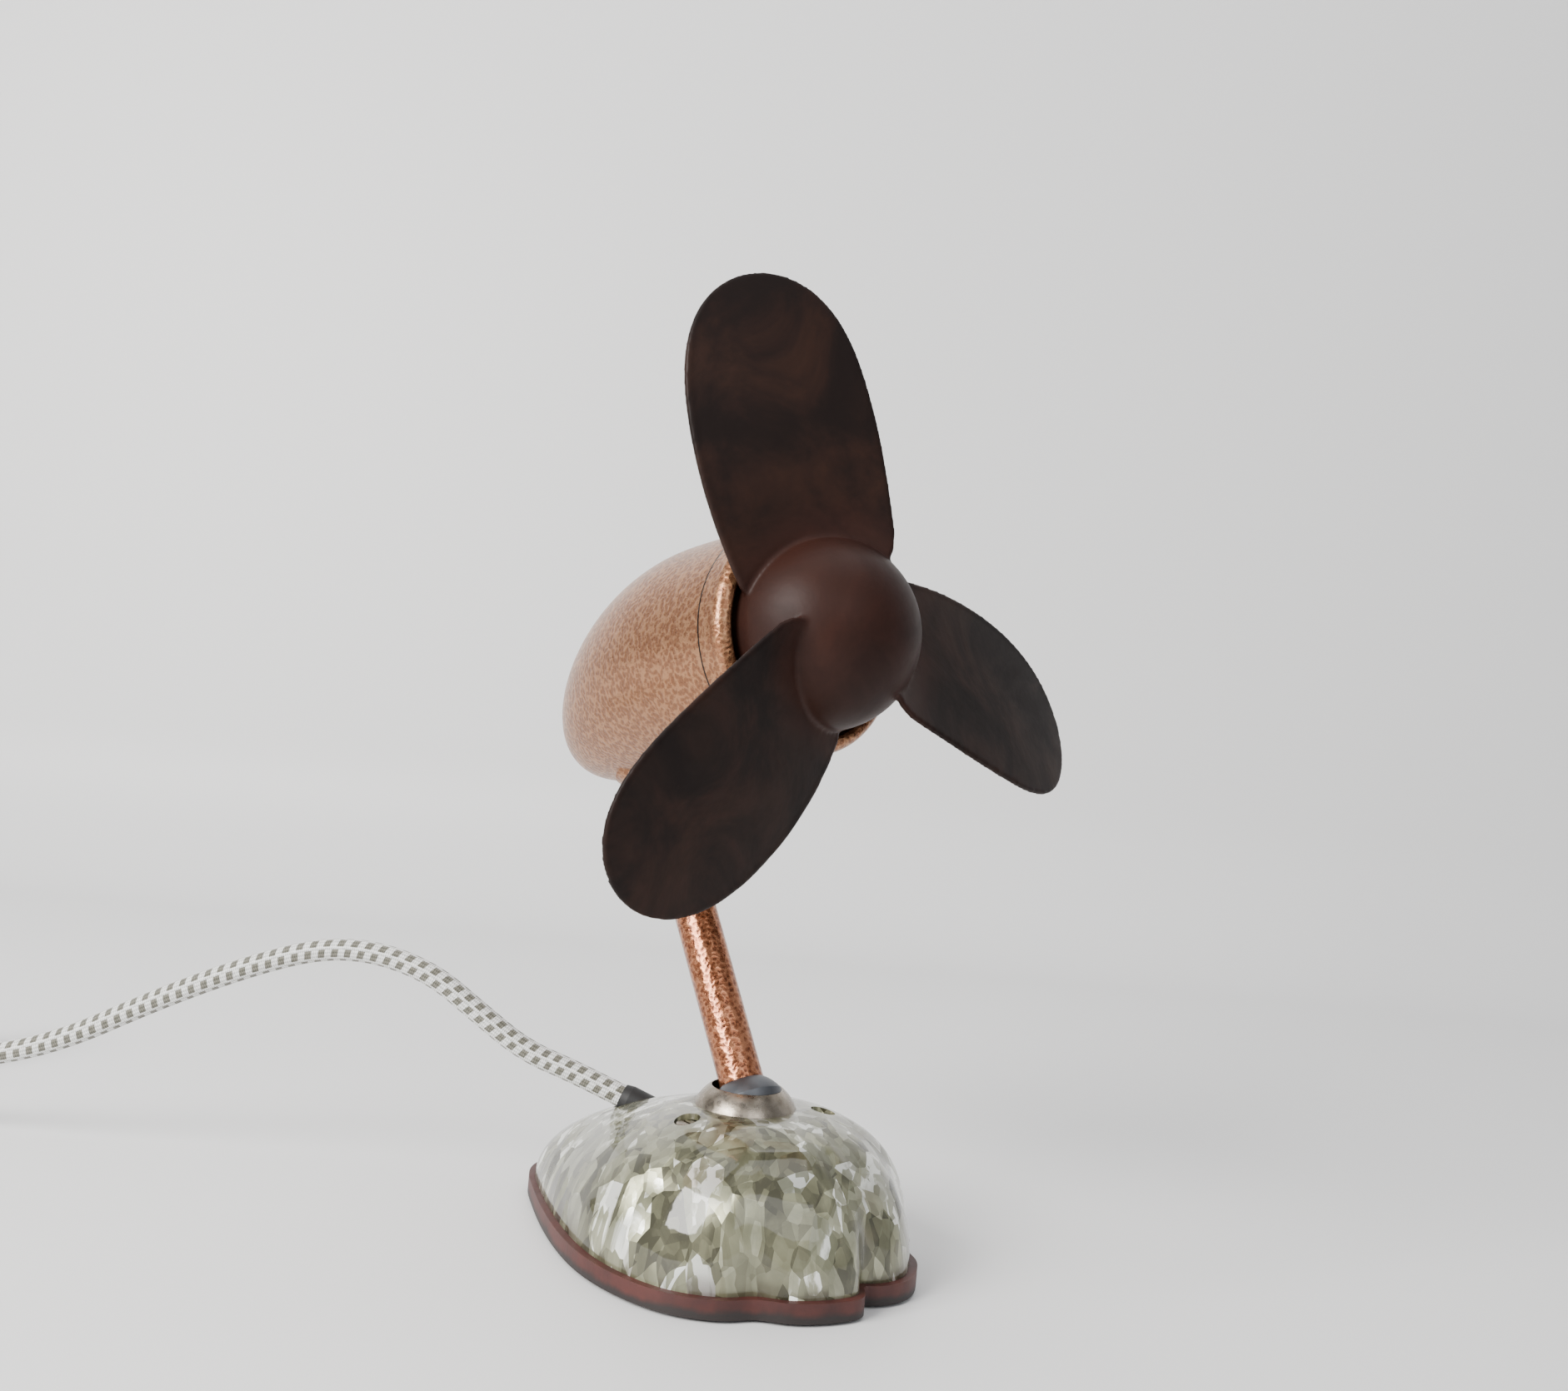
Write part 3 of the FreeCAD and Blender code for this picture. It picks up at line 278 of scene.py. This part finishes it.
def pearl():
    """Mother-of-pearl sheet: pale overlapping flakes, the brightest painted near white as glints, with a clear
    gloss.
    """
    s = Shader("pearl_shell")
    warp = s.place()
    wave = s.add("ShaderNodeTexNoise", {"Vector": warp, "Scale": 22.0, "Detail": 2.0})
    shift = s.add("ShaderNodeVectorMath", operation="MULTIPLY_ADD")
    s.put(shift.inputs[0], wave.outputs["Color"])
    shift.inputs[1].default_value = (0.014, 0.014, 0.014)
    s.put(shift.inputs[2], s.place(scale=(1, 1, 0.5), turn=(0.25, 0.35, 0.2)))
    flakes = s.add("ShaderNodeTexVoronoi", {"Vector": shift.outputs[0], "Scale": 150.0, "Randomness": 1.0})
    small = s.add("ShaderNodeTexVoronoi", {"Vector": shift.outputs[0], "Scale": 330.0, "Randomness": 1.0})
    tint = s.add("ShaderNodeSeparateColor", {"Color": flakes.outputs["Color"]})
    tint2 = s.add("ShaderNodeSeparateColor", {"Color": small.outputs["Color"]})
    mixed = s.maths("ADD", s.maths("MULTIPLY", tint.outputs[0], 0.62),
                    s.maths("MULTIPLY", tint2.outputs[1], 0.38))
    flow = s.noise(shift.outputs[0], 46.0, 5.0, 0.6, 1.6)
    tone = s.maths("ADD", s.maths("MULTIPLY", mixed, 0.6), s.maths("MULTIPLY", flow, 0.42))
    # the flakes are pale in their own colour; the near-white last stop is a painted glint on the brightest of them
    flake_colour_with_painted_glints = s.ramp(tone, (0.30, (0.055, 0.052, 0.028)), (0.43, (0.145, 0.142, 0.082)),
                  (0.56, (0.24, 0.24, 0.15)), (0.66, (0.37, 0.37, 0.26)), (0.70, (0.95, 0.96, 0.88)))
    stain = s.noise(s.place(scale=(1, 1, 1.6), at=(0.3, 0.1, 0.0)), 20.0, 4.0, 0.6, 0.8)
    flake_colour_with_painted_glints = s.mix(s.ramp(stain, (0.55, 0.0), (0.66, 0.6)), flake_colour_with_painted_glints, (0.15, 0.125, 0.075))
    specks = s.add("ShaderNodeTexVoronoi", {"Vector": s.place(), "Scale": 95.0, "Randomness": 1.0})
    pick = s.add("ShaderNodeSeparateColor", {"Color": specks.outputs["Color"]})
    dot = s.maths("MULTIPLY", s.maths("LESS_THAN", specks.outputs["Distance"], 0.09),
                  s.maths("GREATER_THAN", pick.outputs[2], 0.86))
    s.set(Base_Color=s.mix(dot, flake_colour_with_painted_glints, (0.02, 0.018, 0.012)))
    tilt = s.add("ShaderNodeVectorMath", operation="SUBTRACT")
    s.put(tilt.inputs[0], flakes.outputs["Color"])
    tilt.inputs[1].default_value = (0.5, 0.5, 0.5)
    tilt2 = s.add("ShaderNodeVectorMath", operation="SCALE")
    s.put(tilt2.inputs[0], tilt.outputs[0])
    tilt2.inputs["Scale"].default_value = 0.85
    normal = s.add("ShaderNodeNewGeometry").outputs["Normal"]
    added = s.add("ShaderNodeVectorMath", operation="ADD")
    s.put(added.inputs[0], normal)
    s.put(added.inputs[1], tilt2.outputs[0])
    unit = s.add("ShaderNodeVectorMath", operation="NORMALIZE")
    s.put(unit.inputs[0], added.outputs[0])
    s.set(Normal=unit.outputs[0], Metallic=0.5, Roughness=0.3, Coat_Weight=1.0, Coat_Roughness=0.05)
    s.set(Coat_Normal=s.bump(s.noise(s.place(), 55.0, 3.0), 0.14, 0.002))
    return s.material


def hammertone(name, dark, mid, light, rough=0.3, relief=0.22):
    """Metallic enamel with a hammered, cellular skin and fine bright flecks."""
    s = Shader(name)
    base = s.place()
    wobble = s.add("ShaderNodeTexNoise", {"Vector": base, "Scale": 260.0, "Detail": 3.0})
    shift = s.add("ShaderNodeVectorMath", operation="MULTIPLY_ADD")
    s.put(shift.inputs[0], wobble.outputs["Color"])
    shift.inputs[1].default_value = (0.0026, 0.0026, 0.0026)
    s.put(shift.inputs[2], base)
    cells = s.add("ShaderNodeTexVoronoi", {"Vector": shift.outputs[0], "Scale": 640.0, "Randomness": 1.0},
                  feature="SMOOTH_F1")
    s.put(cells.inputs["Smoothness"], 0.35)
    fine = s.noise(base, 1500.0, 3.0, 0.6)
    cloud = s.noise(base, 120.0, 4.0, 0.6, 0.6)
    tone = s.maths("ADD", s.maths("MULTIPLY", cells.outputs["Distance"], 0.9),
                   s.maths("MULTIPLY", fine, 0.45))
    tone = s.maths("ADD", tone, s.maths("MULTIPLY", cloud, 0.3))
    enamel = s.ramp(tone, (0.40, dark), (0.75, mid), (1.0, light), smooth=True)
    where = s.add("ShaderNodeTexCoord").outputs["Object"]
    offset = s.add("ShaderNodeVectorMath", {0: where, 1: tuple(CENTRE)}, operation="SUBTRACT").outputs[0]
    back = s.add("ShaderNodeVectorMath", {0: offset, 1: tuple(-AXIS)}, operation="DOT_PRODUCT")
    # a thin near-black line of painted shade where the two halves of the housing meet flush
    from_seam = s.maths("ABSOLUTE", s.maths("SUBTRACT", back.outputs["Value"], SEAM))
    seam_shade_line = s.maths("LESS_THAN", from_seam, SEAM_SHADE_HALF_WIDTH)
    s.set(Base_Color=s.mix(seam_shade_line, enamel, (0.01, 0.006, 0.004)))
    s.set(Metallic=0.8, Roughness=s.ramp(fine, (0.35, rough - 0.06), (0.65, rough + 0.12)), Coat_Weight=0.15,
          Coat_Roughness=0.12)
    s.set(Normal=s.bump(fine, 0.12, 0.0003, s.bump(cells.outputs["Distance"], relief, 0.0009)))
    return s.material


def moulded_rubber(name, dark, light, rough):
    """Old brown rubber, lightly mottled, with a handled satin surface."""
    s = Shader(name)
    base = s.place()
    cloud = s.noise(base, 26.0, 5.0, 0.62, 0.8)
    spots = s.noise(base, 240.0, 4.0, 0.65)
    colour = s.ramp(cloud, (0.38, dark), (0.72, light), smooth=True)
    where = s.add("ShaderNodeTexCoord").outputs["Object"]
    reach = s.add("ShaderNodeVectorMath", {0: where, 1: tuple(CENTRE)}, operation="DISTANCE").outputs["Value"]
    hub = s.ramp(s.maths("DIVIDE", reach, HUB_SHADE_REACH), (0.62, 1.0), (0.9, 0.0), smooth=True)
    lighter = s.ramp(cloud, (0.3, (0.013, 0.0042, 0.0028)), (0.7, (0.030, 0.0098, 0.0062)))
    colour = s.mix(hub, colour, lighter)
    dust = s.ramp(spots, (0.66, 0.0), (0.8, 0.2))
    s.set(Base_Color=s.mix(dust, colour, tuple(min(c * 1.7, 1.0) for c in light)))
    s.set(Roughness=s.ramp(cloud, (0.3, rough + 0.1), (0.7, rough - 0.05)), Specular_IOR_Level=0.16)
    s.set(Normal=s.bump(s.noise(base, 420.0, 3.0), 0.12, 0.0004, s.bump(cloud, 0.1, 0.002)))
    return s.material


def rim():
    """Red-brown rubber that is nearly black along its lower edge."""
    s = Shader("rim_rubber")
    base = s.place()
    where = s.add("ShaderNodeTexCoord").outputs["Object"]
    height = s.add("ShaderNodeSeparateXYZ", {"Vector": where}).outputs[2]
    wear = s.noise(base, 90.0, 4.0)
    level = s.maths("ADD", height, s.maths("MULTIPLY", s.maths("SUBTRACT", wear, 0.5), 0.004))
    low = s.ramp(s.maths("DIVIDE", level, RIM_HEIGHT), (0.28, 0.0), (0.5, 1.0))
    red = s.ramp(wear, (0.3, (0.038, 0.0085, 0.0065)), (0.7, (0.080, 0.017, 0.0125)))
    s.set(Base_Color=s.mix(low, (0.014, 0.009, 0.008), red), Roughness=0.55)
    s.set(Normal=s.bump(s.noise(base, 380.0, 3.0), 0.2, 0.0004))
    return s.material


def nickel():
    """Worn nickel, brushed round and brown in patches."""
    s = Shader("nickel")
    base = s.place()
    cloud = s.noise(base, 150.0, 4.0, 0.6)
    s.set(Base_Color=s.ramp(cloud, (0.3, (0.17, 0.14, 0.105)), (0.62, (0.38, 0.33, 0.27))), Metallic=1.0)
    s.set(Roughness=s.ramp(s.noise(base, 500.0, 3.0), (0.3, 0.22), (0.7, 0.38)))
    s.set(Normal=s.bump(s.noise(s.place(scale=(1, 1, 14)), 380.0, 3.0), 0.12, 0.0003))
    return s.material


def braid(length, shares):
    """White woven cover with short slanting grey marks in staggered rows."""
    s = Shader("cord_braid")
    uv = s.add("ShaderNodeSeparateXYZ", {"Vector": s.add("ShaderNodeTexCoord").outputs["UV"]})
    even = s.add("ShaderNodeFloatCurve", {"Value": uv.outputs[0]})
    line = even.mapping.curves[0]
    steps = len(shares) - 1
    for i in range(4, steps, 4):
        line.points.new(i / steps, shares[i])
    for point in line.points:
        point.handle_type = "VECTOR"
    even.mapping.update()
    along = s.maths("MULTIPLY", even.outputs[0], length / MARK_PITCH)
    around = s.maths("MULTIPLY", uv.outputs[1], MARK_ROWS)
    row = s.maths("FLOOR", around)
    across = s.maths("FRACT", around)
    stagger = s.maths("MULTIPLY", row, 0.5)
    slant = s.maths("MULTIPLY", across, 0.22)
    phase = s.maths("FRACT", s.maths("ADD", along, s.maths("ADD", stagger, slant)))
    mark = s.maths("MULTIPLY", s.maths("LESS_THAN", phase, 0.5), s.maths("GREATER_THAN", across, 0.12))
    mark = s.maths("MULTIPLY", mark, s.maths("LESS_THAN", across, 0.88))
    ribs = s.maths("SINE", s.maths("MULTIPLY", around, 2 * math.pi * 3))
    weave = s.maths("SINE", s.maths("ADD", s.maths("MULTIPLY", along, 2 * math.pi * 6.5),
                                   s.maths("MULTIPLY", ribs, 0.9)))
    thread = s.maths("MULTIPLY", s.maths("ADD", weave, ribs), 0.25)
    grain = s.noise(s.place(), 900.0, 3.0)
    # white and grey are both painted darker where the weave sinks: painted shade in the hollows between threads,
    # with random grain on top
    white = s.ramp(s.maths("ADD", thread, grain), (0.2, (0.46, 0.46, 0.44)), (0.75, (0.86, 0.86, 0.84)))
    grey = s.ramp(s.maths("ADD", thread, grain), (0.2, (0.07, 0.068, 0.05)), (0.8, (0.20, 0.19, 0.15)))
    s.set(Base_Color=s.mix(mark, white, grey), Roughness=0.75, Sheen_Weight=0.2)
    s.set(Normal=s.bump(s.maths("SUBTRACT", thread, s.maths("MULTIPLY", mark, 0.15)), 0.55, 0.0004))
    return s.material


finish = {
    "pearl_shell": pearl(),
    "rim_rubber": rim(),
    "black_rubber": plain("black_rubber", (0.012, 0.012, 0.012), 0.6, bump=0.2),
    "steel_plate": plain("steel_plate", (0.42, 0.42, 0.42), 0.4, 1.0),
    "ballast": plain("ballast", (0.06, 0.06, 0.06), 0.7, 0.6, bump=0.4),
    "nickel": nickel(),
    "dark_steel": plain("dark_steel", (0.10, 0.105, 0.115), 0.42, 0.8, bump=0.15, grain=500.0, vary=0.4),
    "copper_paint": hammertone("copper_paint", (0.215, 0.088, 0.042), (0.255, 0.110, 0.052),
                               (0.40, 0.20, 0.10)),
    "fibre": plain("fibre", (0.16, 0.06, 0.035), 0.7),
    "bakelite": plain("bakelite", (0.035, 0.022, 0.016), 0.22, coat=0.4),
    "brass": plain("brass", (0.62, 0.44, 0.18), 0.32, 1.0),
    "wire": plain("wire", (0.34, 0.29, 0.2), 0.6),
    "cast_alloy": plain("cast_alloy", (0.5, 0.5, 0.5), 0.5, 1.0, bump=0.3),
    "laminations": plain("laminations", (0.16, 0.16, 0.18), 0.45, 0.9),
    "coil_wire": plain("coil_wire", (0.32, 0.11, 0.045), 0.35, 0.6),
    "copper": plain("copper", (0.62, 0.27, 0.14), 0.35, 1.0),
    "propeller_rubber": moulded_rubber("propeller_rubber", (0.0060, 0.0022, 0.0015),
                                       (0.022, 0.0080, 0.0045), 0.48),
    "cord_braid": braid(cord_length, cord_shares),
}
stem_paint = hammertone("stem_paint", (0.11, 0.030, 0.012), (0.27, 0.092, 0.040), (0.44, 0.18, 0.09),
                        rough=0.18, relief=0.2)
slots = {s["node"]: s["material_slot"] for s in frame["record"]["subparts"]}


def paint(obj, material):
    obj.data.materials.clear()
    obj.data.materials.append(material)


for name, node in nodes.items():
    paint(node, finish[slots[name]])
paint(nodes["stem_tube"], stem_paint)
paint(cord, finish["cord_braid"])


# ------------------------------------------------------------------ propeller
SIDE = Vector(joints["ball_tilt"]["axis"]).normalized()
UPWARD = SIDE.cross(-AXIS).normalized()
if UPWARD.z < 0:
    UPWARD.negate()
TIP_R = 116.2 * MM
HUB_R, HUB_MID, HUB_REAR = 31.4 * MM, 6.2 * MM, 16.8 * MM
HUB_EDGE = 1.0 * MM                # bevel at the rear of the hub
HUB_RIM_DRAW = 0.8 * MM
HUB_CAVITY_R0, HUB_CAVITY_R1, HUB_CAVITY_Y = 23.4 * MM, 22.6 * MM, 9.5 * MM
BOSS_R, BOSS_Y = 11.0 * MM, 15.8 * MM
SHAFT_HOLE_R, SHAFT_HOLE_Y = 6.2 * MM, -8.0 * MM
BLADE_COUNT = 3
BLADE_ROWS, BLADE_HALF_POINTS = 34, 22         # rows along a blade, points across each face of it
BLADE_T = 2.4 * MM
BLADE_CHORD = 66.5 * MM
BLADE_ROOT_CHORD = 0.91            # share of the full chord at the hub
BLADE_FULL_AT = 0.47               # share of the span where the chord is full
BLADE_TIP_POWER = 5.4              # higher is a squarer tip
BLADE_SWEEP, BLADE_SWEEP_TIP = 7.4 * MM, 12.0 * MM
BLADE_PITCH, BLADE_PITCH_POWER = 0.38, 0.24
BLADE_FORWARD, BLADE_TIP_BACK = 2.2, 11.0      # mm at the hub, and mm further back at the tip
BLADE_START_DEG = -23.0
BLADE_INTO_HUB, BLADE_SPAN = -0.045, 1.0435    # where the rows start and how far they go, as shares
BLADE_EDGE_ROUND = 0.09
BEAD_HEIGHT, BEAD_PLACE, BEAD_WIDTH = 0.28, 0.06, 0.035
BLADE_FLAT = 0.85
VOXEL = 0.7 * MM
SOFTEN_TIMES = 4


def head_point(x, y, z):
    """From the head's own frame, -y forward along the fan's axis, to the row frame."""
    return CENTRE + SIDE * x - AXIS * y + UPWARD * z


def blade_point(u, across, thick):
    radius = HUB_R + (TIP_R - HUB_R) * u
    out = max(u, 0.0)
    grow = math.sin(min(out / BLADE_FULL_AT, 1.0) * math.pi / 2)
    wide = BLADE_ROOT_CHORD + (1 - BLADE_ROOT_CHORD) * grow
    chord = BLADE_CHORD * wide * math.sqrt(max(1 - out ** BLADE_TIP_POWER, 0.0))
    place = BLADE_SWEEP * out + BLADE_SWEEP_TIP * out * out + chord * across
    slope = math.atan(BLADE_PITCH * (HUB_R / max(radius, HUB_R)) ** BLADE_PITCH_POWER)
    lift = thick * BLADE_T / 2
    side = place * math.cos(slope) - lift * math.sin(slope)
    dip = (BLADE_FORWARD - BLADE_TIP_BACK * out * out) * MM
    forward = dip + place * math.sin(slope) + lift * math.cos(slope)
    angle = math.radians(BLADE_START_DEG) + side / max(radius, HUB_R)
    return radius * math.sin(angle), -forward, radius * math.cos(angle)


def add_blade(mesh, turn):
    """Closed blade: rows from hub to tip, a loop of points round each section."""
    rows, half = BLADE_ROWS, BLADE_HALF_POINTS
    rings = []
    for i in range(rows + 1):
        s = BLADE_INTO_HUB + BLADE_SPAN * i / rows
        u = 1 - (1 - s) ** 2
        ring = []
        for side in (1, -1):
            for j in range(half):
                t = j / half if side > 0 else 1 - j / half
                across = -0.5 * math.cos(math.pi * t)
                edge = min(t, 1 - t)
                round_off = math.sqrt(max(1 - (1 - min(edge / BLADE_EDGE_ROUND, 1.0)) ** 2, 0.0))
                bead = BEAD_HEIGHT * math.exp(-((t - BEAD_PLACE) / BEAD_WIDTH) ** 2)
                x, y, z = blade_point(u, across, side * (BLADE_FLAT * round_off + bead * round_off))
                c, q = math.cos(turn), math.sin(turn)
                ring.append(mesh.verts.new((x * c + z * q, y, z * c - x * q)))
        rings.append(ring)
    for a, b in zip(rings, rings[1:]):
        for k in range(len(a)):
            mesh.faces.new((a[k], a[(k + 1) % len(a)], b[(k + 1) % len(a)], b[k]))
    mesh.faces.new(rings[0][::-1])
    mesh.faces.new(rings[-1])


def add_turned(mesh, profile, steps=96):
    """Surface turned about the y axis from (radius, y) points; radius 0 closes an end."""
    rings = []
    for radius, y in profile:
        if radius < 1e-9:
            rings.append([mesh.verts.new((0, y, 0))])
        else:
            rings.append([mesh.verts.new((radius * math.cos(2 * math.pi * k / steps), y,
                                          radius * math.sin(2 * math.pi * k / steps))) for k in range(steps)])
    for a, b in zip(rings, rings[1:]):
        for k in range(steps):
            n = (k + 1) % steps
            if len(a) == 1:
                mesh.faces.new((a[0], b[n], b[k]))
            elif len(b) == 1:
                mesh.faces.new((a[k], a[n], b[0]))
            else:
                mesh.faces.new((a[k], a[n], b[n], b[k]))


def new_object(name, mesh, material):
    bmesh.ops.recalc_face_normals(mesh, faces=mesh.faces)
    data = bpy.data.meshes.new(name)
    mesh.to_mesh(data)
    mesh.free()
    for face in data.polygons:
        face.use_smooth = True
    obj = bpy.data.objects.new(name, data)
    bpy.context.scene.collection.objects.link(obj)
    data.materials.append(material)
    return obj


def apply_modifiers(obj):
    graph = bpy.context.evaluated_depsgraph_get()
    data = bpy.data.meshes.new_from_object(obj.evaluated_get(graph), depsgraph=graph)
    obj.modifiers.clear()
    obj.data = data
    for face in data.polygons:
        face.use_smooth = True


def add_propeller():
    mesh = bmesh.new()
    for k in range(BLADE_COUNT):
        add_blade(mesh, math.radians(360.0 / BLADE_COUNT * k))
    tip = HUB_MID - HUB_R
    profile = [(0, tip)]
    for i in range(1, 25):
        a = math.pi / 2 * i / 24
        profile.append((HUB_R * math.sin(a), HUB_MID - HUB_R * math.cos(a)))
    rear = HUB_R - HUB_RIM_DRAW
    profile += [(rear, HUB_REAR - HUB_EDGE), (rear - HUB_EDGE, HUB_REAR), (HUB_CAVITY_R0, HUB_REAR),
                (HUB_CAVITY_R1, HUB_CAVITY_Y), (BOSS_R, HUB_CAVITY_Y), (BOSS_R, BOSS_Y),
                (SHAFT_HOLE_R, BOSS_Y), (SHAFT_HOLE_R, SHAFT_HOLE_Y), (0, SHAFT_HOLE_Y)]
    add_turned(mesh, profile)
    for v in mesh.verts:
        v.co = head_point(*v.co)
    obj = new_object("propeller", mesh, finish["propeller_rubber"])
    merge = obj.modifiers.new("merge", "REMESH")
    merge.mode = "VOXEL"
    merge.voxel_size = VOXEL
    merge.adaptivity = 0.0
    soften = obj.modifiers.new("soften", "SMOOTH")
    soften.factor, soften.iterations = 0.5, SOFTEN_TIMES
    apply_modifiers(obj)
    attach(obj, "rotor")
    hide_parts("rubber_propeller")


add_propeller()


# ------------------------------------------------------------------ room
ROOM_NEAR, ROOM_FAR, ROOM_TOP, ROOM_HALF = -1.6, 0.62, 2.6, 2.5
COVE = 0.12                # radius of the curve between the floor and the wall
FLOOR_COLOUR = (0.80, 0.795, 0.79, 1.0)
WORLD_COLOUR, WORLD_STRENGTH = (0.92, 0.95, 1.0, 1.0), 0.5


def add_room():
    """Pale floor that curves up into a pale wall behind."""
    mesh = bmesh.new()
    ahead = Vector((CAMERA_FORWARD.x, CAMERA_FORWARD.y, 0)).normalized()
    side = Vector((ahead.y, -ahead.x, 0))
    profile = [(ROOM_NEAR, 0.0), (ROOM_FAR, 0.0)]
    for i in range(1, 13):
        a = math.pi / 2 * i / 12
        profile.append((ROOM_FAR + COVE * math.sin(a), COVE * (1 - math.cos(a))))
    profile.append((ROOM_FAR + COVE, ROOM_TOP))
    rows = []
    for forward, z in profile:
        rows.append([mesh.verts.new(ahead * forward + side * w + Vector((0, 0, z)))
                     for w in (-ROOM_HALF, ROOM_HALF)])
    for a, b in zip(rows, rows[1:]):
        mesh.faces.new((a[0], a[1], b[1], b[0]))
    s = Shader("studio_white")
    s.set(Base_Color=FLOOR_COLOUR, Roughness=0.5)
    new_object("room", mesh, s.material)


def add_light(name, place, aim, wide, high, power, colour=(1, 1, 1)):
    data = bpy.data.lights.new(name, "AREA")
    data.shape = "RECTANGLE"
    data.size, data.size_y = wide, high
    data.energy = power
    data.color = colour
    lamp = bpy.data.objects.new(name, data)
    bpy.context.scene.collection.objects.link(lamp)
    lamp.location = place
    lamp.rotation_euler = (Vector(aim) - Vector(place)).to_track_quat("-Z", "Y").to_euler()


add_room()
add_light("window", (-1.3, 0.15, 0.85), (0, 0, 0.15), 0.8, 0.8, 44.0, (1.0, 0.985, 0.96))
add_light("fill", (-0.7, -1.5, 1.2), (0, 0, 0.15), 1.2, 1.0, 8.0, (0.98, 0.99, 1.0))
add_light("top", (0.2, 0.2, 1.9), (0, 0, 0), 1.6, 1.6, 14.0)

world = bpy.data.worlds.new("world")
bpy.context.scene.world = world
world.use_nodes = True
world.node_tree.nodes["Background"].inputs["Color"].default_value = WORLD_COLOUR
world.node_tree.nodes["Background"].inputs["Strength"].default_value = WORLD_STRENGTH

bpy.context.view_layer.update()
